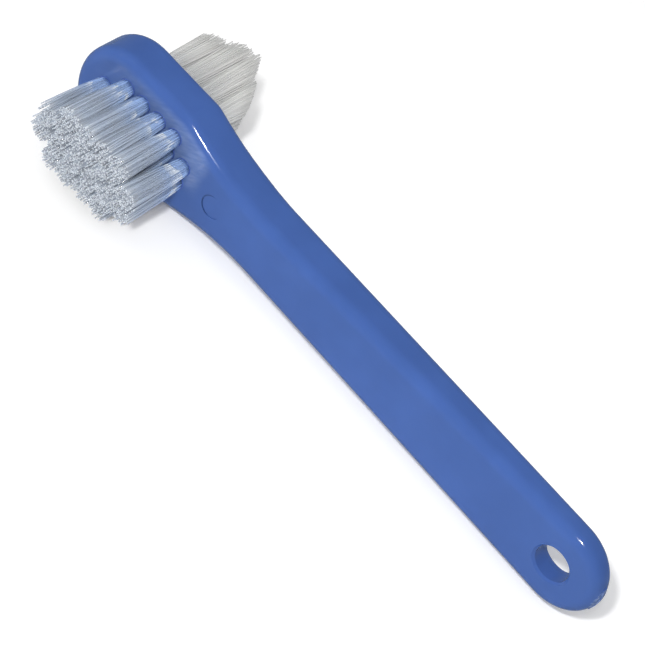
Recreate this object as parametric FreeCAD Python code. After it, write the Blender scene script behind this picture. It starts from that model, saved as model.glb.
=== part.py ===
import FreeCAD, Part
import math
import os

from FreeCAD import Vector

# Overall handle, in millimetres. x runs from the head tip to the tail, y from the
# front face to the back, z across the breadth with the mid plane at zero.
handle_length = 165.0
head_half_breadth = 13.75
neck_half_breadth = 8.3
tail_radius = 11.5
neck_station = 59.7
shoulder_station = 30.9
shoulder_round = 8.0
nose_radius = 1.13 * head_half_breadth
cheek_station = 0.93 * head_half_breadth
head_thickness = 11.6
tail_thickness = 6.1
taper_station = 48.0
taper_blend = 120.0
edge_round = 2.8

# Hanging hole near the tail.
hang_inset = 12.3
hang_radius = 4.5
hang_front_round = 0.5
hang_back_round = 2.8
hang_station = handle_length - hang_inset

# Marks left by moulding.
ejector_station = 45.0
ejector_radius = 2.9
ejector_depth = 0.15
gate_breadth = 8.0
gate_height = 1.0
gate_proud = 0.2
gate_root = 0.5

# Tuft field shared by both faces.
tuft_hole_radius = 1.85
tuft_clearance = 0.05
row_pitch = 4.78
front_hole_depth = 5.0
back_hole_depth = 4.4
flute_count = 5
flute_ratio = 0.92

# Front field: four rows, the two outer rows without their end tufts.
front_pitch = 5.19
front_first_station = 8.4
front_row_count = 4
front_column_count = 6
front_reach = 18.3
front_tip_radius = 2.3

# Back field: three rows of four, trimmed to a roof that is highest in the middle.
back_pitch = 5.5
back_first_station = 12.6
back_row_count = 3
back_column_count = 4
back_tip_radius = 2.25
crown_reach = 23.9
crown_start = 20.5
crown_end = 22.5
crown_rise_ratio = 0.68
crown_fall_ratio = 1.35

# Flat metal anchor that each tuft is folded round.
anchor_thickness = 0.35
anchor_height = 1.6
anchor_bite = 0.35
fold_depth = 0.6

# Shift from the drawing datum to the frame: middle of the length and of the depth,
# with the lower edge of the head at height zero.
frame_shift = Vector(
    -(handle_length + gate_proud) / 2.0,
    -(head_thickness + crown_reach - front_reach) / 2.0,
    head_half_breadth,
)


def polar(centre, radius, angle):
    return (centre[0] + radius * math.cos(angle), centre[1] + radius * math.sin(angle))


def at_front(point):
    return Vector(point[0], 0.0, point[1])


def mirrored(point):
    return (point[0], -point[1])


def line_edge(start, end):
    return Part.makeLine(at_front(start), at_front(end))


def arc_edge(centre, start, end):
    """Shorter arc about a centre from start to end, in the plane of the front face."""
    radius = math.dist(centre, start)
    middle = ((start[0] + end[0]) / 2.0, (start[1] + end[1]) / 2.0)
    angle = math.atan2(middle[1] - centre[1], middle[0] - centre[0])
    crest = polar(centre, radius, angle)
    return Part.Arc(at_front(start), at_front(crest), at_front(end)).toShape()


def flank_angle():
    """Slope of the straight flank that is tangent to the tail circle."""
    run = handle_length - tail_radius - neck_station
    reach = math.hypot(run, neck_half_breadth)
    return math.asin(tail_radius / reach) - math.atan2(neck_half_breadth, run)


def nose_points():
    """Centre of the cheek arc and its joint with the nose arc."""
    run = 2.0 * nose_radius * cheek_station - cheek_station**2 - head_half_breadth**2
    radius = run / (2.0 * (nose_radius - head_half_breadth))
    centre = (cheek_station, head_half_breadth - radius)
    angle = math.atan2(centre[1], centre[0] - nose_radius)
    return centre, polar(centre, radius, angle)


def sweep_circle():
    """Concave arc of the neck: tangent to the flank and aimed at the shoulder corner."""
    slope = flank_angle()
    run = shoulder_station - neck_station
    rise = head_half_breadth - neck_half_breadth
    normal = (-math.sin(slope), math.cos(slope))
    radius = (run**2 + rise**2) / (2.0 * (run * normal[0] + rise * normal[1]))
    centre = (neck_station + radius * normal[0], neck_half_breadth + radius * normal[1])
    return centre, radius


def shoulder_points():
    """Centre of the shoulder round and its joint with the concave neck arc."""
    centre, radius = sweep_circle()
    level = head_half_breadth - shoulder_round
    offset = math.sqrt((radius + shoulder_round) ** 2 - (centre[1] - level) ** 2)
    round_centre = (centre[0] - offset, level)
    angle = math.atan2(centre[1] - level, offset)
    return round_centre, polar(round_centre, shoulder_round, angle)


def outline_wire():
    """Plan view of the handle, drawn on one side and mirrored to the other."""
    cheek_centre, nose_joint = nose_points()
    round_centre, shoulder_joint = shoulder_points()
    sweep_centre, _ = sweep_circle()
    cheek = (cheek_station, head_half_breadth)
    shoulder = (round_centre[0], head_half_breadth)
    neck = (neck_station, neck_half_breadth)
    tail_centre = (handle_length - tail_radius, 0.0)
    flank_end = polar(tail_centre, tail_radius, math.pi / 2.0 + flank_angle())
    edges = []
    for side in (lambda point: point, mirrored):
        edges.append(arc_edge(side(cheek_centre), side(nose_joint), side(cheek)))
        edges.append(line_edge(side(cheek), side(shoulder)))
        edges.append(arc_edge(side(round_centre), side(shoulder), side(shoulder_joint)))
        edges.append(arc_edge(side(sweep_centre), side(shoulder_joint), side(neck)))
        edges.append(line_edge(side(neck), side(flank_end)))
    nose = [nose_joint, (0.0, 0.0), mirrored(nose_joint)]
    tail = [flank_end, (handle_length, 0.0), mirrored(flank_end)]
    for points in (nose, tail):
        edges.append(Part.Arc(*[at_front(point) for point in points]).toShape())
    return Part.Wire(Part.__sortEdges__(edges))


def taper_slope():
    return (head_thickness - tail_thickness) / (handle_length - taper_station)


def side_profile():
    """Side view: level over the head, then a straight taper joined by a wide arc."""
    angle = math.atan(taper_slope())
    tangent = taper_blend * math.tan(angle / 2.0)
    margin = 2.0
    end = handle_length + margin
    start = Vector(taper_station - tangent, head_thickness, 0.0)
    crest = Vector(
        start.x + taper_blend * math.sin(angle / 2.0),
        head_thickness - taper_blend * (1.0 - math.cos(angle / 2.0)),
        0.0,
    )
    finish = Vector(
        start.x + taper_blend * math.sin(angle),
        head_thickness - taper_blend * (1.0 - math.cos(angle)),
        0.0,
    )
    last = Vector(end, finish.y - (end - finish.x) * taper_slope(), 0.0)
    first = Vector(-margin, head_thickness, 0.0)
    below_first = Vector(-margin, -margin, 0.0)
    below_last = Vector(end, -margin, 0.0)
    edges = [
        Part.makeLine(first, start),
        Part.Arc(start, crest, finish).toShape(),
        Part.makeLine(finish, last),
        Part.makeLine(last, below_last),
        Part.makeLine(below_last, below_first),
        Part.makeLine(below_first, first),
    ]
    return Part.Face(Part.Wire(edges))


def upright(radius, start, end, station, level):
    """Cylinder along y from start to end at a station and a level across the breadth."""
    return Part.makeCylinder(radius, end - start, Vector(station, start, level), Vector(0, 1, 0))


def is_outer_edge(edge):
    """True for the edges where the side wall meets the front or the back face."""
    ends = [vertex.Point for vertex in edge.Vertexes]
    if len(ends) < 2:
        return False
    span = ends[1] - ends[0]
    wall_joint = math.hypot(span.x, span.z) < 0.01
    straight = isinstance(edge.Curve, Part.Line)
    cross_joint = straight and abs(span.x) < 0.01
    return not wall_joint and not cross_joint


def back_level(station):
    """Height y of the tapered back face at a station."""
    return head_thickness - taper_slope() * (station - taper_station)


def bell_mouth(rounding, bands, height, outward):
    """Tool that opens one rim of the hanging hole, its quarter round made of cone bands."""
    centre = (hang_radius + rounding, height - outward * rounding)
    points = []
    for index in range(bands + 1):
        angle = math.pi / 2.0 * index / bands
        reach = centre[0] - rounding * math.cos(angle)
        points.append((reach, centre[1] + outward * rounding * math.sin(angle)))
    top = height + outward * 1.0
    points += [(centre[0], top), (0.0, top), (0.0, centre[1]), points[0]]
    corners = [Vector(hang_station + reach, level, 0) for reach, level in points]
    section = Part.Face(Part.makePolygon(corners))
    return section.revolve(Vector(hang_station, 0, 0), Vector(0, 1, 0), 360)


def handle_blank():
    """Rounded bar with its hanging hole, before the tuft holes are drilled."""
    overshoot = 3.0
    plan = Part.Face(outline_wire()).extrude(Vector(0, head_thickness + overshoot, 0))
    breadth = head_half_breadth + overshoot
    side = side_profile()
    side.translate(Vector(0, 0, -breadth))
    blank = plan.common(side.extrude(Vector(0, 0, 2.0 * breadth)))
    blank = blank.makeFillet(edge_round, [edge for edge in blank.Edges if is_outer_edge(edge)])
    hole = upright(hang_radius, -1.0, head_thickness + 1.0, hang_station, 0.0)
    front = bell_mouth(hang_front_round, 1, 0.0, -1.0)
    back = bell_mouth(hang_back_round, 3, back_level(hang_station), 1.0)
    return blank.cut([hole, front, back])


def gate_stub():
    """Low rib left on the tail end where the mould was filled."""
    station = handle_length - tail_radius
    middle = tail_thickness / 2.0
    low = middle - gate_height / 2.0
    high = middle + gate_height / 2.0
    ring = upright(tail_radius + gate_proud, low, high, station, 0.0)
    ring = ring.cut(upright(tail_radius - gate_root, low - 1.0, high + 1.0, station, 0.0))
    size = tail_radius + 1.0
    corner = Vector(station, low, -gate_breadth / 2.0)
    return ring.common(Part.makeBox(size, gate_height, gate_breadth, corner))


def row_level(row, row_count):
    """Level of a row across the breadth, the rows spaced evenly about the middle."""
    return ((row_count - 1) / 2.0 - row) * row_pitch


def site_name(row, column):
    return "abcd"[row] + str(column + 1)


def front_sites():
    """Name, station and level of each tuft on the front face."""
    sites = []
    for row in range(front_row_count):
        inner = 0 < row < front_row_count - 1
        columns = range(front_column_count) if inner else range(1, front_column_count - 1)
        for column in columns:
            station = front_first_station + column * front_pitch
            sites.append((site_name(row, column), station, row_level(row, front_row_count)))
    return sites


def back_sites():
    """Name, station and level of each tuft on the back face."""
    sites = []
    for row in range(back_row_count):
        for column in range(back_column_count):
            station = back_first_station + column * back_pitch
            sites.append((site_name(row, column), station, row_level(row, back_row_count)))
    return sites


def front_height(distance):
    """Height y of a point at a distance out from the front face."""
    return -distance


def back_height(distance):
    """Height y of a point at a distance out from the back face."""
    return head_thickness + distance


def slab(station, level, heights, length, thickness):
    """Flat strip along x between two heights."""
    low, high = min(heights), max(heights)
    corner = Vector(station - length / 2.0, low, level - thickness / 2.0)
    return Part.makeBox(length, high - low, thickness, corner)


def anchor_strip(station, level, height, depth):
    """Strip across a tuft hole, its ends bitten into the wall of the hole."""
    lower = height(fold_depth - depth)
    upper = height(fold_depth + anchor_height - depth)
    length = 2.0 * (tuft_hole_radius + anchor_bite)
    return slab(station, level, (lower, upper), length, anchor_thickness)


def ring_points(station, level, height, radius, ratio):
    """Corners over each lobe and each valley of a bundle of filaments.

    They stand half a step off the x axis, so the anchor passes through flats.
    """
    points = []
    for index in range(2 * flute_count):
        angle = math.pi * (index + 0.5) / flute_count
        reach = radius if index % 2 == 0 else radius * ratio
        x, z = polar((station, level), reach, angle)
        points.append(Vector(x, height, z))
    return points


def flat_face(corners):
    return Part.Face(Part.makePolygon(corners + corners[:1]))


def tuft_hole(station, level, height, depth):
    """Blind hole with a flat for each lobe and valley of its tuft."""
    mouth = ring_points(station, level, height(1.0), tuft_hole_radius, 1.0)
    return flat_face(mouth).extrude(Vector(0, height(-depth) - height(1.0), 0))


def bundle(station, level, height, depth, reach, tip_radius):
    """Fluted bundle that opens out evenly from the floor of its hole to the tip."""
    mouth_radius = tuft_hole_radius - tuft_clearance
    spread = (tip_radius - mouth_radius) / reach
    rings = []
    for out in (-depth, reach):
        radius = mouth_radius + spread * out
        rings.append(ring_points(station, level, height(out), radius, flute_ratio))
    root, tip = rings
    faces = [flat_face(root), flat_face(tip)]
    for index in range(len(root)):
        faces.append(flat_face([root[index - 1], root[index], tip[index], tip[index - 1]]))
    solid = Part.Solid(Part.Shell(faces))
    if solid.Volume < 0.0:
        solid.reverse()
    return solid.cut(anchor_strip(station, level, height, depth))


def front_tuft(station, level):
    return bundle(station, level, front_height, front_hole_depth, front_reach, front_tip_radius)


def roof_prism():
    """Space that the back bristles keep after trimming: a ridge with two slopes."""
    margin = 20.0
    left = crown_start - margin
    right = crown_end + margin
    floor = back_height(-back_hole_depth - 1.0)
    crown = back_height(crown_reach)
    points = [
        Vector(left, floor, -margin),
        Vector(left, crown - margin * crown_rise_ratio, -margin),
        Vector(crown_start, crown, -margin),
        Vector(crown_end, crown, -margin),
        Vector(right, max(crown - margin * crown_fall_ratio, floor + 1.0), -margin),
        Vector(right, floor, -margin),
    ]
    face = Part.Face(Part.makePolygon(points + points[:1]))
    return face.extrude(Vector(0, 0, 2.0 * margin))


def back_tuft(station, level, roof):
    overlong = crown_reach + 1.0
    solid = bundle(station, level, back_height, back_hole_depth, overlong, back_tip_radius)
    return solid.common(roof)


def handle():
    """One moulding: rounded bar, two fields of blind tuft holes, moulding marks."""
    cutters = []
    fields = (
        (front_sites(), front_height, front_hole_depth),
        (back_sites(), back_height, back_hole_depth),
    )
    for sites, height, depth in fields:
        for _, station, level in sites:
            cutters.append(tuft_hole(station, level, height, depth))
            cutters.append(anchor_strip(station, level, height, depth))
    cutters.append(upright(ejector_radius, -1.0, ejector_depth, ejector_station, 0.0))
    return handle_blank().fuse(gate_stub()).cut(cutters).removeSplitter()


def anchors(sites, height, depth):
    strips = [anchor_strip(station, level, height, depth) for _, station, level in sites]
    return Part.makeCompound(strips)


def write(name, shape):
    placed = shape.copy()
    placed.translate(frame_shift)
    if placed.isNull() or not placed.isValid():
        raise ValueError(f"{name} is not a valid shape")
    placed.exportStep(f"parts/{name}.step")


def main():
    os.makedirs("parts", exist_ok=True)
    write("handle", handle())
    write("front_anchors", anchors(front_sites(), front_height, front_hole_depth))
    write("back_anchors", anchors(back_sites(), back_height, back_hole_depth))
    for name, station, level in front_sites():
        write(f"front_tuft_{name}", front_tuft(station, level))
    roof = roof_prism()
    for name, station, level in back_sites():
        write(f"back_tuft_{name}", back_tuft(station, level, roof))


main()
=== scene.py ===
import math

import bpy
from bpy.props import FloatProperty, FloatVectorProperty, IntProperty, PointerProperty
from mathutils import Matrix, Vector


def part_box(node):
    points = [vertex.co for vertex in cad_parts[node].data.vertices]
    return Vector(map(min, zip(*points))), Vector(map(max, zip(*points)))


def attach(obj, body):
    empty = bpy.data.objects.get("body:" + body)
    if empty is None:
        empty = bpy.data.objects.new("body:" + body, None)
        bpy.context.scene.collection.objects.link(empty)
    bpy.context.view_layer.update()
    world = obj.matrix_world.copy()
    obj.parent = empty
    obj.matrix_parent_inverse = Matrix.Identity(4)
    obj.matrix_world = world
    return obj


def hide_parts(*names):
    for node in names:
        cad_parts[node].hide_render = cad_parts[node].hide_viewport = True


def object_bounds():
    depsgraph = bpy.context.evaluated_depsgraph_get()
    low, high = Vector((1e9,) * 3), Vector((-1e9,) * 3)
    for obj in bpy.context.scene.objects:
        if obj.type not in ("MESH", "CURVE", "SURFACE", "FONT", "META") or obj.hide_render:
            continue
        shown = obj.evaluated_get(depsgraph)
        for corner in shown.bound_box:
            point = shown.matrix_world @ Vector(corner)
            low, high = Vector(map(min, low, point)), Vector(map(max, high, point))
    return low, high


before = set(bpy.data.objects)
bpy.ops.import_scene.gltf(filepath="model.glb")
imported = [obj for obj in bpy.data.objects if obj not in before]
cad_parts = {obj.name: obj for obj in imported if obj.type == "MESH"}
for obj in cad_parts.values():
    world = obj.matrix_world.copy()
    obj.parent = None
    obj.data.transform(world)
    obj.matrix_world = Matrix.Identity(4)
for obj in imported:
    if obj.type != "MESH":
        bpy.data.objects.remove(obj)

bl_info = {
    "name": "Denture Brush",
    "version": (1, 0, 0),
    "blender": (4, 5, 0),
    "location": "3D View > Sidebar > Brush",
    "description": "Dresses a two-sided denture brush: moulded handle, clear and milky bristles",
    "category": "Object",
}

golden_angle = math.pi * (3.0 - math.sqrt(5.0))
white = (1.0, 1.0, 1.0, 1.0)

cad_low, cad_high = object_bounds()
handle_low, handle_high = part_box("handle")
middle_height = (handle_low.z + handle_high.z) / 2.0

# Marks and anchors of the handle, in metres. Stations run from the head tip.
ejector_station = 0.045
ejector_radius = 0.0029
pip_station = 0.0546
pip_rise = 0.0075
gate_half_breadth = 0.004
anchor_half_thickness = 0.000175

# Runs along a filament, as shares of its length from the floor of its hole.
hole_shade_run = (0.215, 0.265)
root_run = (0.25, 0.70)
tip_run = (0.86, 0.99)
solid_run = (0.24, 0.80)
flash_rise = (0.27, 0.33)
flash_fade = (0.52, 0.38)

# Unit, subtype and limits that many settings share.
as_length = {"unit": "LENGTH", "subtype": "DISTANCE"}
as_share = {"subtype": "FACTOR", "min": 0.0, "max": 1.0}
as_colour = {"subtype": "COLOR", "size": 3, "min": 0.0, "max": 1.0}
as_power = {"unit": "POWER", "min": 0.0}


def tuft_nodes(side):
    """Names of the CAD tufts on one side of the head, in order."""
    return sorted(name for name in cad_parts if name.startswith(f"{side}_tuft_"))


def tuft_centre(node, outward):
    """Station and level of a tuft, read at the floor of its hole."""
    points = [vertex.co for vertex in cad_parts[node].data.vertices]
    floor = min(point.y * outward for point in points)
    ring = [point for point in points if point.y * outward < floor + 1e-5]
    return sum((Vector((p.x, 0.0, p.z)) for p in ring), Vector()) / len(ring)


def face_height(outward):
    """Place of the face of the handle that looks outward."""
    return handle_high.y if outward > 0 else handle_low.y


def field_extent(side, outward):
    """Depth of the holes below the face and reach of the bristles above it."""
    boxes = [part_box(node) for node in tuft_nodes(side)]
    levels = [corner.y * outward for box in boxes for corner in box]
    face = face_height(outward) * outward
    return face - min(levels), max(levels) - face


class HandleFinish(bpy.types.PropertyGroup):
    colour: FloatVectorProperty(
        name="Colour", description="Colour of the blue polypropylene",
        default=(0.063, 0.133, 0.408), **as_colour)
    # Pale colour of the torn gate mark, and of the painted reflection round the tufts.
    scar_and_reflection_colour: FloatVectorProperty(
        name="Scar and reflection colour", description="Colour of the torn gate mark and of the painted reflection round the tufts",
        default=(0.24, 0.34, 0.62), **as_colour)
    roughness: FloatProperty(
        name="Roughness", description="Roughness of the polished mould face",
        default=0.10, **as_share)
    skin: FloatProperty(
        name="Skin", description="Weight of the clear glossy skin over the blue",
        default=0.9, **as_share)
    # Strength of the painted reflection of the bristles, laid as pale streaks on the face round
    # the tufts.
    painted_reflection: FloatProperty(
        name="Painted reflection", description="How strong the painted reflection of the bristles round the tufts is",
        default=0.60, **as_share)
    ripple_height: FloatProperty(
        name="Ripple height", description="Height of the slow waves in the moulded skin",
        min=0.0, default=0.00006, **as_length)
    grain_height: FloatProperty(
        name="Grain height", description="Height of the fine grain in the moulded skin",
        min=0.0, default=0.000004, **as_length)
    scar_height: FloatProperty(
        name="Gate scar height", description="Height of the torn grain on the gate mark",
        min=0.0, default=0.00025, **as_length)


class HoleRims(bpy.types.PropertyGroup):
    hole_radius: FloatProperty(
        name="Hole radius", description="Inner radius of the rim round a tuft hole",
        min=0.0005, default=0.00185, **as_length)
    bead_radius: FloatProperty(
        name="Bead radius", description="Radius of the bead of plastic that a tuft pushed up",
        min=0.00005, default=0.00019, **as_length)
    proud: FloatProperty(
        name="Proud", description="Height of the bead above the face",
        min=0.0, default=0.00010, **as_length)
    swell: FloatProperty(
        name="Swell", description="Extra height of the bead at the two ends of the anchor",
        min=0.0, default=0.00009, **as_length)
    unevenness: FloatProperty(
        name="Unevenness", description="How much the height of the bead wanders",
        min=0.0, default=0.00016, **as_length)


class AnchorFinish(bpy.types.PropertyGroup):
    colour: FloatVectorProperty(
        name="Colour", description="Colour of the flat anchor strip",
        default=(0.75, 0.66, 0.42), **as_colour)


class FrontBristles(bpy.types.PropertyGroup):
    count: IntProperty(
        name="Filaments", description="Filaments in each tuft", min=7, max=400, default=100)
    diameter: FloatProperty(
        name="Diameter", description="Diameter of one filament",
        min=0.00005, default=0.00033, **as_length)
    root_radius: FloatProperty(
        name="Root radius", description="Radius of a tuft where it leaves its hole",
        min=0.0005, default=0.00176, **as_length)
    tip_radius: FloatProperty(
        name="Tip radius", description="Radius of a tuft at its trimmed end",
        min=0.0005, default=0.00315, **as_length)
    splay: FloatProperty(
        name="Splay", description="How late a tuft opens out: 1 is evenly, less is sooner",
        min=0.2, max=3.0, default=0.34)
    scatter: FloatProperty(
        name="Trim scatter", description="How far the cut ends fall short of the longest",
        min=0.0, default=0.0007, **as_length)
    stray: FloatProperty(
        name="Stray", description="How far a filament leans out of its place at the tip",
        min=0.0, default=0.00045, **as_length)
    lean: FloatProperty(
        name="Lean", description="How far a whole tuft leans at the tip",
        min=0.0, default=0.00030, **as_length)
    colour: FloatVectorProperty(
        name="Colour", description="Colour of the clear nylon seen in depth",
        default=(0.42, 0.49, 0.61), **as_colour)
    # Painted shade of the dark hole where the clear filaments leave it.
    hole_shade_colour: FloatVectorProperty(
        name="Hole shade colour", description="Painted shade of the hole where the clear nylon leaves it",
        default=(0.13, 0.25, 0.62), **as_colour)
    root_colour: FloatVectorProperty(
        name="Root colour", description="Colour that the handle lends to the roots",
        default=(0.40, 0.58, 0.96), **as_colour)
    tip_colour: FloatVectorProperty(
        name="Tip colour", description="Colour of the clear nylon near the cut",
        default=(0.46, 0.51, 0.59), **as_colour)
    # Painted highlight round the edge of a cut end and painted shade in its middle, as the rounded
    # end bends the light.
    ring_highlight_colour: FloatVectorProperty(
        name="Ring highlight colour", description="Painted highlight round the edge of a cut end",
        default=(0.83, 0.87, 0.92), **as_colour)
    core_shade_colour: FloatVectorProperty(
        name="Core shade colour", description="Painted shade in the middle of a cut end",
        default=(0.46, 0.51, 0.60), **as_colour)
    flash: FloatProperty(
        name="Flash", description="Strength of the bright patches above the roots",
        default=1.0, **as_share)
    flash_colour: FloatVectorProperty(
        name="Flash colour", description="Colour of the bright patches above the roots",
        default=(0.86, 0.93, 1.0), **as_colour)
    gloss: FloatProperty(
        name="Gloss", description="Weight of the wet-looking gloss on a filament",
        default=1.0, **as_share)
    contrast: FloatProperty(
        name="Streak contrast", description="How much one filament differs from the next in tone",
        default=0.26, **as_share)
    solidity: FloatProperty(
        name="Solidity", description="Share of the view that one clear filament stops",
        default=0.60, **as_share)
    root_share: FloatProperty(
        name="Root solidity", description="Solidity at the root as a share of that at the tip",
        default=0.65, **as_share)
    shade_share: FloatProperty(
        name="Shade", description="Share of the light behind a filament that is lost",
        default=0.012, **as_share)
    seed: IntProperty(name="Seed", description="Seed of the random lean and trim", default=7)


class BackBristles(bpy.types.PropertyGroup):
    count: IntProperty(
        name="Filaments", description="Filaments in each tuft", min=7, max=400, default=150)
    diameter: FloatProperty(
        name="Diameter", description="Diameter of one filament",
        min=0.00005, default=0.00027, **as_length)
    root_radius: FloatProperty(
        name="Root radius", description="Radius of a tuft where it leaves its hole",
        min=0.0005, default=0.00176, **as_length)
    tip_radius: FloatProperty(
        name="Tip radius", description="Radius of a tuft at its trimmed end",
        min=0.0005, default=0.00330, **as_length)
    splay: FloatProperty(
        name="Splay", description="How late a tuft opens out: 1 is evenly, less is sooner",
        min=0.2, max=3.0, default=0.4)
    scatter: FloatProperty(
        name="Trim scatter", description="How far the cut ends fall short of the roof",
        min=0.0, default=0.0004, **as_length)
    stray: FloatProperty(
        name="Stray", description="How far a filament leans out of its place at the tip",
        min=0.0, default=0.00020, **as_length)
    lean: FloatProperty(
        name="Lean", description="How far a whole tuft leans at the tip",
        min=0.0, default=0.00030, **as_length)
    crown_start: FloatProperty(
        name="Crown start", description="Station where the trimmed roof stops rising",
        default=-0.0621, **as_length)
    crown_end: FloatProperty(
        name="Crown end", description="Station where the trimmed roof starts to fall",
        default=-0.0601, **as_length)
    rise: FloatProperty(
        name="Rise", description="Rise of the roof for each unit of length before the crown",
        min=0.0, default=0.68)
    fall: FloatProperty(
        name="Fall", description="Fall of the roof for each unit of length after the crown",
        min=0.0, default=1.35)
    colour: FloatVectorProperty(
        name="Colour", description="Colour of the milky nylon",
        default=(0.80, 0.80, 0.78), **as_colour)
    # Painted shade of the hole where the milky filaments leave it.
    hole_shade_colour: FloatVectorProperty(
        name="Hole shade colour", description="Painted shade of the hole where the milky nylon leaves it",
        default=(0.40, 0.46, 0.62), **as_colour)
    root_colour: FloatVectorProperty(
        name="Root colour", description="Colour of the milky nylon near the head",
        default=(0.64, 0.65, 0.65), **as_colour)
    tip_colour: FloatVectorProperty(
        name="Tip colour", description="Colour of the milky nylon near the cut",
        default=(0.84, 0.84, 0.82), **as_colour)
    # Painted highlight round the edge of a cut end and painted shade in its middle.
    ring_highlight_colour: FloatVectorProperty(
        name="Ring highlight colour", description="Painted highlight round the edge of a cut end",
        default=(0.90, 0.90, 0.87), **as_colour)
    core_shade_colour: FloatVectorProperty(
        name="Core shade colour", description="Painted shade in the middle of a cut end",
        default=(0.70, 0.70, 0.67), **as_colour)
    flash: FloatProperty(
        name="Flash", description="Strength of the bright patches above the roots",
        default=0.0, **as_share)
    flash_colour: FloatVectorProperty(
        name="Flash colour", description="Colour of the bright patches above the roots",
        default=(1.0, 1.0, 1.0), **as_colour)
    gloss: FloatProperty(
        name="Gloss", description="Weight of the wet-looking gloss on a filament",
        default=0.2, **as_share)
    contrast: FloatProperty(
        name="Streak contrast", description="How much one filament differs from the next in tone",
        default=0.09, **as_share)
    solidity: FloatProperty(
        name="Solidity", description="Share of the view that one milky filament stops",
        default=0.92, **as_share)
    root_share: FloatProperty(
        name="Root solidity", description="Solidity at the root as a share of that at the tip",
        default=0.6, **as_share)
    shade_share: FloatProperty(
        name="Shade", description="Share of the light behind a filament that is lost",
        default=0.07, **as_share)
    seed: IntProperty(name="Seed", description="Seed of the random lean and trim", default=21)


class StudioStage(bpy.types.PropertyGroup):
    camera_place: FloatVectorProperty(
        name="Camera", description="Place of the camera",
        unit="LENGTH", subtype="TRANSLATION", size=3, default=(0.12935, -0.39746, 0.46840))
    view_right: FloatVectorProperty(
        name="View right", description="Direction that points right in the picture",
        subtype="DIRECTION", size=3, default=(0.6722, 0.6470, 0.3600))
    view_up: FloatVectorProperty(
        name="View up", description="Direction that points up in the picture",
        subtype="DIRECTION", size=3, default=(-0.7088, 0.4217, 0.5655))
    focal_length: FloatProperty(
        name="Focal length", description="Focal length of the lens on a 36 mm sensor",
        unit="CAMERA", min=10.0, default=158.07)
    sky: FloatProperty(
        name="Sky", description="Strength of the even light from all round",
        min=0.0, default=0.37)
    bright_side: FloatVectorProperty(
        name="Bright side", description="Direction in which the even light is strongest",
        subtype="DIRECTION", size=3, default=(-0.45, -0.85, 0.00))
    slope: FloatProperty(
        name="Slope", description="How much stronger the even light is on its bright side",
        default=0.30, **as_share)
    mirrored_sky: FloatProperty(
        name="Mirrored sky", description="Strength of the dim room above that glossy faces mirror",
        min=0.0, default=0.09)
    mirrored_colour: FloatVectorProperty(
        name="Mirrored colour", description="Colour of the room that glossy faces mirror",
        default=(0.55, 0.70, 1.0), **as_colour)
    mirrored_ground: FloatProperty(
        name="Mirrored ground", description="Strength of the floor that glossy faces mirror",
        min=0.0, default=0.30)
    key_power: FloatProperty(
        name="Key lamp power", description="Power of the lamp above left of the camera",
        default=2.2, **as_power)
    glint_power: FloatProperty(
        name="Glint lamp power", description="Power of the small lamp that glossy edges mirror",
        default=0.5, **as_power)
    halo_power: FloatProperty(
        name="Halo lamp power", description="Power of the wide dim ring round the glint",
        default=0.2, **as_power)
    side_power: FloatProperty(
        name="Side lamp power", description="Power of the softbox beside the head tip",
        default=0.3, **as_power)
    fill_power: FloatProperty(
        name="Fill lamp power", description="Power of the low softbox behind the brush",
        default=2.0, **as_power)
    floor_colour: FloatVectorProperty(
        name="Floor", description="Colour of the pale floor",
        default=(0.95, 0.95, 0.95), **as_colour)
    shadow_reach: FloatProperty(
        name="Shadow reach",
        description="Distance from the brush within which the floor stays grey",
        min=0.0, default=0.008, **as_length)
    floor_glow: FloatProperty(
        name="Floor white", description="White that the camera sees on top of the lit floor",
        default=0.20, **as_share)


settings_classes = {
    "brush_handle": HandleFinish,
    "brush_rims": HoleRims,
    "brush_anchors": AnchorFinish,
    "brush_front": FrontBristles,
    "brush_back": BackBristles,
    "brush_stage": StudioStage,
}


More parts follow.
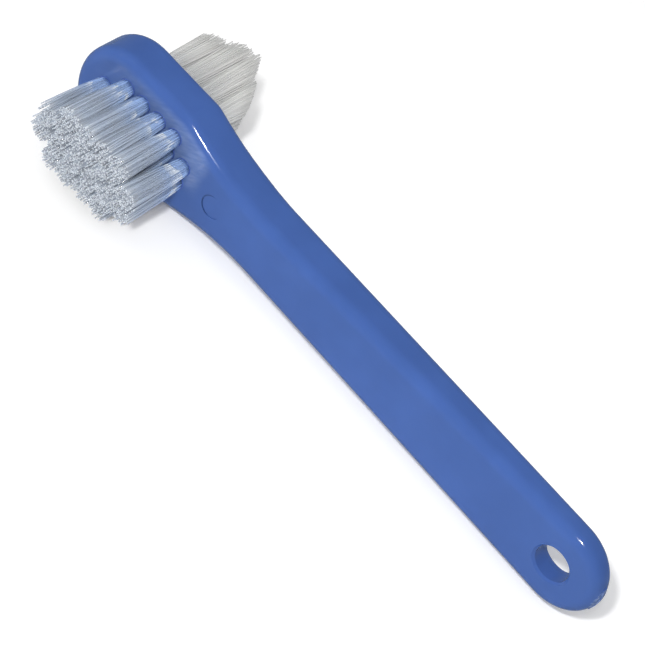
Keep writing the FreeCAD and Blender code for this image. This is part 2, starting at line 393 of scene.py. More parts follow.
class Desk:
    """Adds nodes to one tree and joins their sockets."""

    def __init__(self, tree):
        self.tree = tree

    def add(self, kind, settings=None, **inputs):
        """Adds a node, sets its properties, and fills or joins inputs by their names."""
        node = self.tree.nodes.new(kind)
        for name, value in (settings or {}).items():
            setattr(node, name, value)
        for name, value in inputs.items():
            label = name.replace("_", " ").lower()
            socket = next(s for s in node.inputs if s.enabled and s.name.lower() == label)
            self.feed(socket, value)
        return node

    def feed(self, socket, value):
        """Joins an output to a socket, or sets the socket's own value."""
        if isinstance(value, bpy.types.Node):
            value = next(s for s in value.outputs if s.enabled)
        if isinstance(value, bpy.types.NodeSocket):
            self.tree.links.new(value, socket)
        else:
            socket.default_value = value

    def chain(self, node, values):
        """Feeds the enabled inputs of a node in order, and gives its first output."""
        sockets = [s for s in node.inputs if s.enabled]
        for socket, value in zip(sockets, values):
            self.feed(socket, value)
        return next(s for s in node.outputs if s.enabled)

    def math(self, operation, *values):
        return self.chain(self.add("ShaderNodeMath", {"operation": operation}), values)

    def vector(self, operation, *values):
        return self.chain(self.add("ShaderNodeVectorMath", {"operation": operation}), values)

    def mix(self, factor, first, second):
        """Blend of two colours."""
        node = self.add("ShaderNodeMix", {"data_type": "RGBA"})
        return self.chain(node, (factor, first, second))

    def product(self, value, *others):
        for other in others:
            value = self.math("MULTIPLY", value, other)
        return value

    def apart(self, first, second):
        """How far one value is from another."""
        return self.math("ABSOLUTE", self.math("SUBTRACT", first, second))

    def combine(self, x=0.0, y=0.0, z=0.0):
        return self.add("ShaderNodeCombineXYZ", X=x, Y=y, Z=z).outputs[0]

    def place(self):
        """Place on the piece, in its own axes."""
        return self.add("ShaderNodeTexCoord").outputs["Object"]

    def axes(self, place):
        """Outputs X, Y and Z of a place."""
        return self.add("ShaderNodeSeparateXYZ", Vector=place).outputs

    def ramp(self, value, low, high, start=0.0, end=1.0, shape="SMOOTHSTEP"):
        """Value mapped from low..high to start..end, with soft ends unless told otherwise."""
        node = self.add(
            "ShaderNodeMapRange", {"interpolation_type": shape}, Value=value,
            From_Min=low, From_Max=high, To_Min=start, To_Max=end)
        return node.outputs[0]

    def noise(self, place, scale, detail):
        return self.add("ShaderNodeTexNoise", Vector=place, Scale=scale, Detail=detail).outputs[0]

    def bump(self, height, distance, **below):
        """Surface direction bent by a height pattern, over the bump given as Normal."""
        return self.add("ShaderNodeBump", Height=height, Distance=distance, Strength=1.0, **below)


def new_material(name):
    """Material with its desk and its shader."""
    material = bpy.data.materials.new(name)
    material.use_nodes = True
    desk = Desk(material.node_tree)
    shader = material.node_tree.nodes["Principled BSDF"]
    return material, desk, shader


def fix(shader, values):
    """Sets inputs of a shader that stay the same all over."""
    for name, value in values.items():
        shader.inputs[name].default_value = value


def rgb(colour, gain=1.0):
    """Four-part colour, made darker or lighter by the gain."""
    return (*(gain * part for part in colour), 1.0)


def attribute(desk, name):
    return desk.add("ShaderNodeAttribute", {"attribute_name": name}).outputs["Fac"]


def handle_material(settings):
    """Glossy blue plastic with a slow ripple, fine grain, a torn gate mark, a pip, a painted
    reflection of the bristles round the tuft holes and a painted shade line at the ejector mark.
    """
    material, desk, shader = new_material("handle_plastic")
    place = desk.place()
    gate = gate_mask(desk, place)
    torn = desk.noise(place, scale=1400.0, detail=5.0)
    drift = desk.noise(place, scale=70.0, detail=3.0)
    shade = desk.mix(
        desk.ramp(drift, 0.3, 0.7), rgb(settings.colour, 0.94), rgb(settings.colour, 1.05))
    pale = rgb(settings.scar_and_reflection_colour)
    tints = (
        (gate, desk.ramp(torn, 0.42, 0.62), pale),
        (pip_mask(desk, place), 0.6, rgb(settings.colour, 0.55)),
        # Painted reflection of the bristles: pale streaks round the front tuft holes.
        (painted_reflection_mask(desk, place), settings.painted_reflection, pale),
        # Painted shade: darker line where the step of the ejector mark lies in shadow.
        (ejector_shade_mask(desk, place), 0.75, rgb(settings.colour, 0.45)),
    )
    for mask, strength, colour in tints:
        shade = desk.mix(desk.product(mask, strength), shade, colour)
    desk.feed(shader.inputs["Base Color"], shade)
    lengthwise = desk.vector("MULTIPLY", place, (60.0, 500.0, 500.0))
    scuffs = desk.noise(lengthwise, scale=1.0, detail=4.0)
    worn = desk.ramp(scuffs, 0.45, 0.8, settings.roughness, settings.roughness + 0.10)
    desk.feed(shader.inputs["Roughness"], desk.math("MAXIMUM", worn, desk.product(gate, 0.55)))
    fix(shader, {
        "IOR": 1.5, "Coat Weight": settings.skin, "Coat Roughness": 0.03,
        "Subsurface Weight": 0.06, "Subsurface Radius": (0.0006, 0.0010, 0.0022),
        "Subsurface Scale": 1.0,
    })
    waves = desk.bump(desk.noise(place, scale=55.0, detail=1.0), settings.ripple_height)
    grain = desk.noise(place, scale=2600.0, detail=2.0)
    fine = desk.bump(grain, settings.grain_height, Normal=waves)
    scar = desk.bump(desk.product(torn, gate), settings.scar_height, Normal=fine)
    desk.feed(shader.inputs["Normal"], scar)
    return material


def gate_mask(desk, place):
    """One on the torn end of the moulding gate, on the middle of the tail."""
    axes = desk.axes(place)
    along = desk.ramp(axes["X"], handle_high.x - 0.0011, handle_high.x - 0.0004)
    across = desk.ramp(
        desk.apart(axes["Z"], middle_height), gate_half_breadth + 0.0008,
        gate_half_breadth - 0.0004)
    return desk.product(along, across)


def painted_reflection_mask(desk, place):
    """Painted reflection of the bristles: a pale streaky cloud round the front tuft holes."""
    boxes = [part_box(node) for node in tuft_nodes("front")]
    low = Vector(map(min, *(box[0] for box in boxes)))
    high = Vector(map(max, *(box[1] for box in boxes)))
    middle, half = (low + high) / 2.0, (high - low) / 2.0
    axes = desk.axes(place)
    gaps = []
    for axis, centre, reach in (("X", middle.x, half.x), ("Z", middle.z, half.z)):
        past = desk.math("SUBTRACT", desk.apart(axes[axis], centre), reach)
        gaps.append(desk.math("MAXIMUM", past, 0.0))
    gap = desk.vector("LENGTH", desk.combine(x=gaps[0], y=gaps[1]))
    cloud_reach = 0.0046
    near = desk.ramp(gap, cloud_reach, 0.0004)
    tailward = desk.ramp(axes["X"], low.x, high.x, 0.1, 1.0)
    upper = desk.ramp(axes["Z"], middle.z - 0.004, middle.z + 0.002)
    front = desk.ramp(axes["Y"], handle_low.y + 0.0006, handle_low.y + 0.0001)
    slant, along_scale, across_scale = 0.62, 260.0, 1100.0
    run = Vector((1.0, 0.0, slant)).normalized() * along_scale
    width = Vector((-slant, 0.0, 1.0)).normalized() * across_scale
    along = desk.vector("DOT_PRODUCT", place, run)
    across = desk.vector("DOT_PRODUCT", place, width)
    streaks = desk.noise(desk.combine(x=along, y=across), scale=1.0, detail=3.0)
    return desk.product(near, tailward, upper, front, desk.ramp(streaks, 0.30, 0.70, 0.55, 1.0))


def ejector_shade_mask(desk, place):
    """Painted shade: thin dark line along the edge of the round ejector mark, where its step lies
    in shadow, fading towards the tail.
    """
    centre = (handle_low.x + ejector_station, handle_low.y, middle_height)
    spot = desk.vector("SUBTRACT", place, centre)
    axes = desk.axes(spot)
    away = desk.apart(desk.vector("LENGTH", spot), ejector_radius)
    line_edge, line_core = 0.00028, 0.00008
    line = desk.ramp(away, line_edge, line_core)
    front = desk.ramp(axes["Y"], 0.0008, 0.0004)
    fade = desk.ramp(axes["X"], 0.0006, -0.0012)
    return desk.product(line, front, fade)


def pip_mask(desk, place):
    """One on the small pip beside the ejector mark."""
    pip = (handle_low.x + pip_station, handle_low.y, middle_height + pip_rise)
    pip_edge, pip_core = 0.00055, 0.0002
    return desk.ramp(desk.vector("DISTANCE", place, pip), pip_edge, pip_core)


def anchor_material(settings):
    """Drawn brass strip with lengthwise draw lines."""
    material, desk, shader = new_material("anchor_metal")
    drawn = desk.vector("MULTIPLY", desk.place(), (200.0, 6000.0, 6000.0))
    lines = desk.noise(drawn, scale=1.0, detail=2.0)
    tone = desk.mix(lines, rgb(settings.colour, 0.8), rgb(settings.colour))
    desk.feed(shader.inputs["Base Color"], tone)
    desk.feed(shader.inputs["Roughness"], desk.ramp(lines, 0.2, 0.8, 0.25, 0.45))
    fix(shader, {"Metallic": 1.0})
    return material


def bristle_material(name, settings, roughness):
    """Nylon filaments: painted shade of the hole where they leave it, tinted towards the root,
    streaked one by one, ringed at the cut with a painted highlight round a painted shaded core,
    with painted glints above the roots.
    """
    material, desk, shader = new_material(name)
    along = attribute(desk, "along")
    streak = attribute(desk, "streak")
    cut = attribute(desk, "cut")

    def by_filament(low, high):
        return desk.ramp(streak, 0.0, 1.0, low, high)

    # Painted shade of the hole where the filaments leave it, fading into the root colour.
    lower = desk.mix(
        desk.ramp(along, *hole_shade_run), rgb(settings.hole_shade_colour), rgb(settings.root_colour))
    body = desk.mix(desk.ramp(along, *root_run), lower, rgb(settings.colour))
    body = desk.mix(desk.ramp(along, *tip_run), body, rgb(settings.tip_colour))
    streaked = desk.vector(
        "SCALE", body, by_filament(1.0 - settings.contrast, 1.0 + settings.contrast))
    flash = desk.product(flash_mask(desk, along, streak), settings.flash)
    side = desk.mix(flash, streaked, rgb(settings.flash_colour))
    # Cut end: a painted highlight ring round a painted shaded core.
    ring = desk.mix(
        desk.ramp(attribute(desk, "core"), 0.30, 0.75), rgb(settings.ring_highlight_colour),
        rgb(settings.core_shade_colour))
    end = desk.vector("SCALE", ring, by_filament(0.85, 1.12))
    desk.feed(shader.inputs["Base Color"], desk.mix(cut, side, end))
    desk.feed(shader.inputs["Roughness"], by_filament(roughness - 0.06, roughness + 0.06))
    fix(shader, {"IOR": 1.53, "Coat Weight": settings.gloss, "Coat Roughness": 0.08})

    path = desk.add("ShaderNodeLightPath").outputs
    solid = desk.product(
        by_filament(settings.solidity - 0.12, settings.solidity + 0.08),
        desk.ramp(along, *solid_run, settings.root_share, 1.0))
    for whole in (flash, cut, path["Is Glossy Ray"]):
        solid = desk.math("MAXIMUM", solid, whole)
    shade = desk.math("MAXIMUM", path["Is Shadow Ray"], path["Is Diffuse Ray"])
    stopped = desk.math("SUBTRACT", 1.0, desk.product(shade, 1.0 - settings.shade_share))
    desk.feed(shader.inputs["Alpha"], desk.product(solid, stopped))
    return material


def flash_mask(desk, along, streak):
    """Patches above the roots where clear filaments gather the light."""
    patch = desk.ramp(desk.noise(desk.place(), scale=330.0, detail=0.0), 0.54, 0.60)
    rise = desk.ramp(along, *flash_rise)
    fade = desk.ramp(along, *flash_fade)
    picked = desk.ramp(streak, 0.25, 0.55)
    return desk.product(patch, rise, fade, picked)


def start_tree(name, ports):
    """Geometry tree with named inputs, its desk and its group inputs."""
    tree = bpy.data.node_groups.new(name, "GeometryNodeTree")
    for label, kind in ports.items():
        tree.interface.new_socket(label, in_out="INPUT", socket_type=f"NodeSocket{kind}")
    tree.interface.new_socket("Mesh", in_out="OUTPUT", socket_type="NodeSocketGeometry")
    return tree, Desk(tree), tree.nodes.new("NodeGroupInput").outputs


def plant(desk, points, shape):
    """Copy of a shape on each point, made real."""
    copies = desk.add("GeometryNodeInstanceOnPoints", Points=points, Instance=shape)
    return desk.add("GeometryNodeRealizeInstances", Geometry=copies)


def end_tree(desk, geometry, material):
    """Gives a mesh its material and hands it out of the tree."""
    finished = desk.add("GeometryNodeSetMaterial", Geometry=geometry, Material=material)
    desk.feed(desk.tree.nodes.new("NodeGroupOutput").inputs[0], finished)


def bristle_tree(name):
    """Node tree that grows a tuft of filaments from every point it is given."""
    sizes = (
        "Filament Radius", "Root Radius", "Tip Radius", "Depth", "Reach", "Outward", "Scatter",
        "Stray", "Lean", "Crown Start", "Crown End", "Rise", "Fall", "Parting", "Splay")
    tree, desk, given = start_tree(name, {
        "Tufts": "Geometry", "Filaments": "Int", **dict.fromkeys(sizes, "Float"),
        "Seed": "Int", "Material": "Material"})
    grown = plant(desk, planted_points(desk, given), plain_filament(desk))
    shaped = desk.add("GeometryNodeSetPosition", Geometry=grown, Position=bent_place(desk, given))
    end_tree(desk, shaped, given["Material"])
    return tree


def store(desk, geometry, name, value, kind="FLOAT", domain="POINT"):
    settings = {"data_type": kind, "domain": domain}
    node = desk.add(
        "GeometryNodeStoreNamedAttribute", settings, Geometry=geometry, Name=name, Value=value)
    return node.outputs[0]


def stored(desk, name, kind="FLOAT"):
    node = desk.add("GeometryNodeInputNamedAttribute", {"data_type": kind}, Name=name)
    return next(s for s in node.outputs if s.enabled and s.name == "Attribute")


def stored_vector(desk, name):
    return stored(desk, name, "FLOAT_VECTOR")


def chance(desk, low, high, key, seed, kind="FLOAT"):
    """Random value between two limits, one for each key."""
    node = desk.add(
        "FunctionNodeRandomValue", {"data_type": kind}, Min=low, Max=high, ID=key, Seed=seed)
    return next(s for s in node.outputs if s.enabled)


def planted_points(desk, given):
    """One point for each filament, with its place in the tuft, its length and its lean."""
    tuft = desk.add("GeometryNodeInputIndex").outputs[0]
    seed = given["Seed"]
    everywhere = (-1.0, 0.0, -1.0), (1.0, 0.0, 1.0)
    tilt = chance(desk, *everywhere, tuft, seed, "FLOAT_VECTOR")
    turn = chance(desk, 0.0, 2.0 * math.pi, tuft, desk.math("ADD", seed, 1))
    short = chance(desk, 0.0, 1.0, tuft, desk.math("ADD", seed, 2))
    points = store(desk, given["Tufts"], "tilt", tilt, "FLOAT_VECTOR")
    points = store(desk, points, "turn", turn)
    points = store(desk, points, "short", short)
    copies = desk.add(
        "GeometryNodeDuplicateElements", {"domain": "POINT"}, Geometry=points,
        Amount=given["Filaments"])
    step = copies.outputs["Duplicate Index"]
    share = desk.math("DIVIDE", desk.math("ADD", step, 0.5), given["Filaments"])
    angle = desk.math("ADD", desk.product(step, golden_angle), stored(desk, "turn"))
    spread = desk.math("SQRT", share)
    disc = desk.combine(
        x=desk.product(spread, desk.math("COSINE", angle)),
        z=desk.product(spread, desk.math("SINE", angle)))
    key = desk.add("GeometryNodeInputIndex").outputs[0]
    wander = chance(desk, *everywhere, key, desk.math("ADD", seed, 3), "FLOAT_VECTOR")
    streak = chance(desk, 0.0, 1.0, key, desk.math("ADD", seed, 4))
    points = store(desk, copies.outputs["Geometry"], "disc", disc, "FLOAT_VECTOR")
    centre = desk.add("GeometryNodeInputPosition").outputs[0]
    points = store(desk, points, "centre", centre, "FLOAT_VECTOR")
    sway = desk.vector(
        "ADD", desk.vector("SCALE", stored_vector(desk, "tilt"), given["Lean"]),
        desk.vector("SCALE", wander, given["Stray"]))
    points = store(desk, points, "sway", sway, "FLOAT_VECTOR")
    points = store(desk, points, "streak", streak)
    return store(desk, points, "length", trimmed_length(desk, given, seed, key))


def trimmed_length(desk, given, seed, key):
    """Length of a filament above the face, after the flat or roof-shaped trim."""
    out = desk.vector("SCALE", stored_vector(desk, "disc"), given["Tip Radius"])
    station = desk.axes(desk.vector("ADD", stored_vector(desk, "centre"), out))["X"]
    before = desk.math("MAXIMUM", desk.math("SUBTRACT", given["Crown Start"], station), 0.0)
    after = desk.math("MAXIMUM", desk.math("SUBTRACT", station, given["Crown End"]), 0.0)
    drop = desk.math(
        "ADD", desk.product(before, given["Rise"]), desk.product(after, given["Fall"]))
    own = desk.math("POWER", chance(desk, 0.0, 1.0, key, desk.math("ADD", seed, 5)), 2.0)
    own_part, tuft_part = 0.6, 0.4
    uneven = desk.math(
        "ADD", desk.product(own, own_part), desk.product(stored(desk, "short"), tuft_part))
    loss = desk.math("ADD", drop, desk.product(uneven, given["Scatter"]))
    return desk.math("SUBTRACT", given["Reach"], loss)


def plain_filament(desk):
    """Straight five-sided filament of unit length that knows its section and its run."""
    rod = desk.add(
        "GeometryNodeMeshCylinder", {"fill_type": "TRIANGLE_FAN"}, Vertices=5,
        Side_Segments=4, Radius=1.0, Depth=1.0)
    smooth = desk.add(
        "GeometryNodeSetShadeSmooth", Geometry=rod.outputs["Mesh"],
        Selection=rod.outputs["Side"], Shade_Smooth=True)
    axes = desk.axes(desk.add("GeometryNodeInputPosition").outputs[0])
    section = desk.combine(x=axes["X"], y=axes["Y"])
    mesh = store(desk, smooth, "section", section, "FLOAT_VECTOR")
    half_length = 0.5
    mesh = store(desk, mesh, "along", desk.math("ADD", axes["Z"], half_length))
    middle = desk.math("LESS_THAN", desk.vector("LENGTH", section), 0.5)
    top = desk.math("GREATER_THAN", axes["Z"], half_length - 0.01)
    mesh = store(desk, mesh, "core", desk.product(middle, top))
    return store(desk, mesh, "cut", rod.outputs["Top"], domain="FACE")


def bent_place(desk, given):
    """Place of a vertex: up its filament, out with the splay, leaned and parted."""
    depth, outward, thick = given["Depth"], given["Outward"], given["Filament Radius"]
    whole = desk.math("ADD", depth, stored(desk, "length"))
    height = desk.math("SUBTRACT", desk.product(stored(desk, "along"), whole), depth)
    rise = desk.math("DIVIDE", desk.math("MAXIMUM", height, 0.0), given["Reach"])
    inner = desk.math("SUBTRACT", given["Root Radius"], thick)
    outer = desk.math("SUBTRACT", given["Tip Radius"], thick)
    opened = desk.math("POWER", rise, given["Splay"])
    widened = desk.product(opened, desk.math("SUBTRACT", outer, inner))
    radius = desk.math("ADD", inner, widened)
    disc = desk.vector("SCALE", stored_vector(desk, "disc"), radius)
    sway_growth = 1.6
    sway = desk.vector(
        "SCALE", stored_vector(desk, "sway"), desk.math("POWER", rise, sway_growth))
    section = desk.axes(stored_vector(desk, "section"))
    ring = desk.combine(
        x=desk.product(section["X"], thick),
        z=desk.product(section["Y"], thick, desk.product(outward, -1.0)))
    lift = desk.combine(y=desk.product(height, outward))
    spot = stored_vector(desk, "centre")
    for step in (disc, parted(desk, given, disc, height, inner), sway, ring, lift):
        spot = desk.vector("ADD", spot, step)
    return spot


def parted(desk, given, disc, height, inner):
    """Sideways step that takes the filaments past the two faces of the anchor."""
    level = desk.axes(disc)["Z"]
    above = desk.math("GREATER_THAN", level, 0.0)
    side = desk.math("SUBTRACT", desk.product(above, 2.0), 1.0)
    room = desk.math("SUBTRACT", side, desk.math("DIVIDE", level, inner))
    start = desk.product(given["Depth"], 0.1)
    full = desk.product(given["Depth"], 0.5)
    share = desk.ramp(desk.product(height, -1.0), start, full)
    return desk.combine(z=desk.product(room, given["Parting"], share))


def rim_tree(name):
    """Node tree that lays an uneven bead of plastic round every point it is given."""
    sizes = ("Ring Radius", "Bead Radius", "Proud", "Swell", "Unevenness", "Outward")
    tree, desk, given = start_tree(name, {
        "Tufts": "Geometry", **dict.fromkeys(sizes, "Float"), "Material": "Material"})
    ring = desk.add(
        "GeometryNodeCurvePrimitiveCircle", Resolution=28, Radius=given["Ring Radius"])
    section = desk.add(
        "GeometryNodeCurvePrimitiveCircle", Resolution=7, Radius=given["Bead Radius"])
    bead = desk.add("GeometryNodeCurveToMesh", Curve=ring, Profile_Curve=section)
    smooth = desk.add("GeometryNodeSetShadeSmooth", Geometry=bead, Shade_Smooth=True)
    quarter_turn = (math.pi / 2.0, 0.0, 0.0)
    upright = desk.add("GeometryNodeTransform", Geometry=smooth, Rotation=quarter_turn)
    place = desk.add("GeometryNodeInputPosition").outputs[0]
    share = desk.math("DIVIDE", desk.axes(place)["X"], given["Ring Radius"])
    bulge = desk.product(share, share, given["Swell"])
    sunk = desk.math("SUBTRACT", given["Proud"], given["Bead Radius"])
    lift = desk.product(desk.math("ADD", bulge, sunk), given["Outward"])
    swollen = desk.add("GeometryNodeSetPosition", Geometry=upright, Offset=desk.combine(y=lift))
    grown = plant(desk, given["Tufts"], swollen)
    waves = desk.math("SUBTRACT", desk.noise(place, scale=900.0, detail=1.0), 0.5)
    wander = desk.product(waves, desk.product(given["Unevenness"], given["Outward"]))
    shaped = desk.add("GeometryNodeSetPosition", Geometry=grown, Offset=desk.combine(y=wander))
    end_tree(desk, shaped, given["Material"])
    return tree


def raise_rims(name, side, outward, settings):
    """Lays the rims of one side as one mesh in the plastic of the handle."""
    values = {
        "Ring Radius": settings.hole_radius + settings.bead_radius,
        "Bead Radius": settings.bead_radius, "Proud": settings.proud,
        "Swell": settings.swell, "Unevenness": settings.unevenness, "Outward": outward,
        "Material": bpy.data.materials["handle_plastic"],
    }
    piece = made_at_tufts(name, side, outward, rim_tree(f"{name}_tree"), values)
    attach(piece, "root")


def made_at_tufts(name, side, outward, tree, values):
    """Plain mesh object that a node tree makes from one point at each tuft of a side."""
    centres = [tuft_centre(node, outward) for node in tuft_nodes(side)]
    places = bpy.data.meshes.new(f"{name}_places")
    places.from_pydata([(c.x, face_height(outward), c.z) for c in centres], [], [])
    holder = bpy.data.objects.new(f"{name}_places", places)
    bpy.context.scene.collection.objects.link(holder)
    modifier = holder.modifiers.new(name, "NODES")
    modifier.node_group = tree
    for item in tree.interface.items_tree:
        if item.in_out == "INPUT" and item.name in values:
            modifier[item.identifier] = values[item.name]
    holder.update_tag()
    graph = bpy.context.evaluated_depsgraph_get()
    mesh = bpy.data.meshes.new_from_object(holder.evaluated_get(graph))
    mesh.name = name
    holder.modifiers.remove(modifier)
    bpy.data.objects.remove(holder)
    piece = bpy.data.objects.new(name, mesh)
    bpy.context.scene.collection.objects.link(piece)
    if not mesh.polygons:
        raise RuntimeError(f"{name} came out empty")
    return piece


def grow(name, side, outward, settings, material, roof):
    """Grows all tufts of one side as one mesh and lets it stand for their CAD solids."""
    depth, reach = field_extent(side, outward)
    values = {
        "Filaments": settings.count, "Filament Radius": settings.diameter / 2.0,
        "Root Radius": settings.root_radius, "Tip Radius": settings.tip_radius,
        "Depth": depth, "Reach": reach, "Outward": outward,
        "Scatter": settings.scatter, "Stray": settings.stray, "Lean": settings.lean,
        "Parting": anchor_half_thickness + settings.diameter / 2.0,
        "Splay": settings.splay, "Seed": settings.seed, "Material": material,
        **roof,
    }
    piece = made_at_tufts(name, side, outward, bristle_tree(f"{name}_tree"), values)
    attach(piece, "root")
    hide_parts(*tuft_nodes(side))


class BRUSH_OT_handle(bpy.types.Operator):
    """Finish the moulded handle in glossy blue plastic"""

    bl_idname = "brush.handle"
    bl_label = "Finish Handle"

    def execute(self, context):
        dress("handle", handle_material(context.scene.brush_handle))
        return {"FINISHED"}


class BRUSH_OT_rims(bpy.types.Operator):
    """Raise the rims of plastic round the tuft holes"""

    bl_idname = "brush.rims"
    bl_label = "Raise Rims"

    def execute(self, context):
        settings = context.scene.brush_rims
        raise_rims("front_rims", "front", -1.0, settings)
        raise_rims("back_rims", "back", 1.0, settings)
        return {"FINISHED"}


class BRUSH_OT_anchors(bpy.types.Operator):
    """Finish the anchor strips in drawn brass"""

    bl_idname = "brush.anchors"
    bl_label = "Finish Anchors"

    def execute(self, context):
        material = anchor_material(context.scene.brush_anchors)
        dress("front_anchors", material)
        dress("back_anchors", material)
        return {"FINISHED"}


class BRUSH_OT_front_bristles(bpy.types.Operator):
    """Grow the clear flat-trimmed tufts on the front of the head"""

    bl_idname = "brush.front_bristles"
    bl_label = "Grow Front Bristles"

    def execute(self, context):
        settings = context.scene.brush_front
        material = bristle_material("front_bristle", settings, roughness=0.14)
        flat = {"Crown Start": 0.0, "Crown End": 0.0, "Rise": 0.0, "Fall": 0.0}
        grow("front_bristles", "front", -1.0, settings, material, flat)
        return {"FINISHED"}


class BRUSH_OT_back_bristles(bpy.types.Operator):
    """Grow the milky roof-trimmed tufts on the back of the head"""

    bl_idname = "brush.back_bristles"
    bl_label = "Grow Back Bristles"

    def execute(self, context):
        settings = context.scene.brush_back
        material = bristle_material("back_bristle", settings, roughness=0.40)
        roof = {
            "Crown Start": settings.crown_start, "Crown End": settings.crown_end,
            "Rise": settings.rise, "Fall": settings.fall,
        }
        grow("back_bristles", "back", 1.0, settings, material, roof)
        return {"FINISHED"}


class BRUSH_OT_stage(bpy.types.Operator):
    """Set the pale floor, the soft lights and the camera"""

    bl_idname = "brush.stage"
    bl_label = "Set Stage"

    def execute(self, context):
        settings = context.scene.brush_stage
        context.scene.view_settings.view_transform = "Standard"
        add_floor(settings)
        add_sky(context.scene, settings)
        camera = add_camera(context.scene, settings)
        add_lamps(settings, camera)
        return {"FINISHED"}


def dress(node, material):
    """Gives a CAD node one material in place of its own."""
    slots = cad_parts[node].data.materials
    slots.clear()
    slots.append(material)


def add_floor(settings):
    """Pale floor that the camera sees as white where no shadow falls, with a painted contact
    shadow where the brush is near.
    """
    material, desk, shader = new_material("floor")
    reach = 2.0
    corners = [(reach * x, reach * y, 0.0) for x, y in ((-1, -1), (1, -1), (1, 1), (-1, 1))]
    mesh = bpy.data.meshes.new("floor")
    mesh.from_pydata(corners, [], [(0, 1, 2, 3)])
    floor = bpy.data.objects.new("floor", mesh)
    bpy.context.scene.collection.objects.link(floor)
    fix(shader, {
        "Base Color": rgb(settings.floor_colour), "Roughness": 0.9,
        "Specular IOR Level": 0.0, "Emission Color": white,
    })
    path = desk.add("ShaderNodeLightPath").outputs
    seen = path["Is Camera Ray"]
    for kind in ("Is Glossy Ray", "Is Transmission Ray"):
        seen = desk.math("MAXIMUM", seen, path[kind])
    # Painted contact shadow: the white glow fades where ambient occlusion finds the brush near.
    open_sky = desk.add(
        "ShaderNodeAmbientOcclusion", Distance=settings.shadow_reach).outputs["AO"]
    shadow_core, shadow_edge = 0.20, 0.92
    core_glow = 0.4 * settings.floor_glow
    glow = desk.ramp(open_sky, shadow_core, shadow_edge, core_glow, settings.floor_glow)
    desk.feed(shader.inputs["Emission Strength"], desk.product(seen, glow))
    mesh.materials.append(material)
    floor.visible_glossy = False


def add_sky(scene, settings):
    """Even light that is stronger on one side, and the dim room that glossy faces mirror."""
    world = bpy.data.worlds.new("studio")
    world.use_nodes = True
    desk = Desk(world.node_tree)
    sky = world.node_tree.nodes["Background"]
    mirrored = desk.add("ShaderNodeLightPath").outputs["Is Glossy Ray"]
    toward = desk.add("ShaderNodeTexCoord").outputs["Generated"]
    facing = desk.vector("DOT_PRODUCT", toward, Vector(settings.bright_side).normalized())
    even = desk.ramp(
        facing, -1.0, 1.0, settings.sky * (1.0 - settings.slope),
        settings.sky * (1.0 + settings.slope), "LINEAR")
    room = desk.ramp(
        desk.axes(toward)["Z"], -0.5, 0.5, settings.mirrored_ground, settings.mirrored_sky,
        "LINEAR")
    desk.feed(sky.inputs["Color"], desk.mix(mirrored, white, rgb(settings.mirrored_colour)))
    desk.feed(sky.inputs["Strength"], desk.ramp(mirrored, 0.0, 1.0, even, room, "LINEAR"))
    scene.world = world


def add_camera(scene, settings):
    """Camera at its place, turned so that its right and up directions are as given."""
    right = Vector(settings.view_right).normalized()
    up = Vector(settings.view_up)
    up = (up - up.dot(right) * right).normalized()
    data = bpy.data.cameras.new("camera")
    data.sensor_width = 36.0
    data.lens = settings.focal_length
    data.clip_start = 0.01
    data.clip_end = 20.0
    camera = bpy.data.objects.new("camera", data)
    scene.collection.objects.link(camera)
    turn = Matrix((right, up, right.cross(up))).transposed()
    camera.matrix_world = Matrix.Translation(settings.camera_place) @ turn.to_4x4()
    scene.camera = camera
    return camera


def add_lamp(name, power, place, target, width):
    """Round lamp of some width that points at a target."""
    data = bpy.data.lights.new(name, "AREA")
    data.shape = "DISK"
    data.size = width
    data.energy = power
    lamp = bpy.data.objects.new(name, data)
    bpy.context.scene.collection.objects.link(lamp)
    lamp.location = place
    lamp.rotation_mode = "QUATERNION"
    lamp.rotation_quaternion = (Vector(target) - Vector(place)).to_track_quat("-Z", "Y")
    return lamp


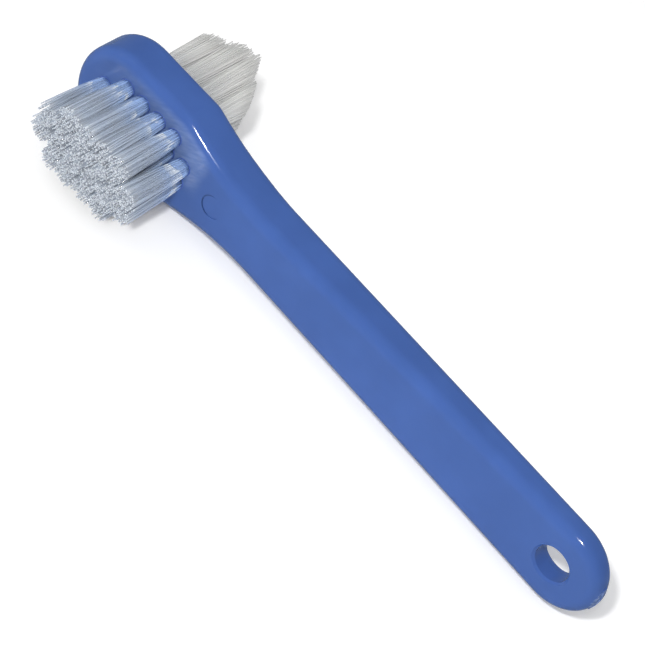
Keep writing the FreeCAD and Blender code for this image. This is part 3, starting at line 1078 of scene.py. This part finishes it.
def add_lamps(settings, camera):
    """Key, glint and halo lamps by the camera, one beside the head tip and one behind."""
    centre = (cad_low + cad_high) / 2.0
    view = camera.matrix_world.to_3x3()
    above_left = camera.location + view @ Vector((-0.050, 0.110, 0.0))
    above_right = camera.location + view @ Vector((0.024, 0.065, 0.0))
    beside = centre + Vector((-0.50, -0.22, 0.30))
    behind = centre + Vector((0.12, 0.75, 0.16))
    key = add_lamp("key_lamp", settings.key_power, above_left, centre, width=0.05)
    add_lamp("glint_lamp", settings.glint_power, above_right, centre, width=0.05)
    halo = add_lamp("halo_lamp", settings.halo_power, above_right, centre, width=0.16)
    side = add_lamp("side_lamp", settings.side_power, beside, centre, width=0.30)
    fill = add_lamp("fill_lamp", settings.fill_power, behind, centre, width=0.40)
    halo.visible_diffuse = False
    for lamp in (key, side, fill):
        lamp.visible_glossy = False


class BRUSH_PT_panel(bpy.types.Panel):
    """Sizes, colours and steps of the brush"""

    bl_idname = "BRUSH_PT_panel"
    bl_label = "Denture Brush"
    bl_space_type = "VIEW_3D"
    bl_region_type = "UI"
    bl_category = "Brush"

    def draw(self, context):
        for operator, group in steps:
            box = self.layout.box()
            box.operator(operator)
            settings = getattr(context.scene, group)
            for name in settings_classes[group].__annotations__:
                box.prop(settings, name)


steps = (
    ("brush.handle", "brush_handle"),
    ("brush.rims", "brush_rims"),
    ("brush.anchors", "brush_anchors"),
    ("brush.front_bristles", "brush_front"),
    ("brush.back_bristles", "brush_back"),
    ("brush.stage", "brush_stage"),
)

classes = (
    *settings_classes.values(),
    BRUSH_OT_handle,
    BRUSH_OT_rims,
    BRUSH_OT_anchors,
    BRUSH_OT_front_bristles,
    BRUSH_OT_back_bristles,
    BRUSH_OT_stage,
    BRUSH_PT_panel,
)


def register():
    for entry in classes:
        bpy.utils.register_class(entry)
    for name, group in settings_classes.items():
        setattr(bpy.types.Scene, name, PointerProperty(type=group))


def unregister():
    for name in settings_classes:
        delattr(bpy.types.Scene, name)
    for entry in reversed(classes):
        bpy.utils.unregister_class(entry)


def main():
    register()
    bpy.ops.brush.handle()
    bpy.ops.brush.rims()
    bpy.ops.brush.anchors()
    bpy.ops.brush.front_bristles()
    bpy.ops.brush.back_bristles()
    bpy.ops.brush.stage()


if __name__ == "__main__":
    main()
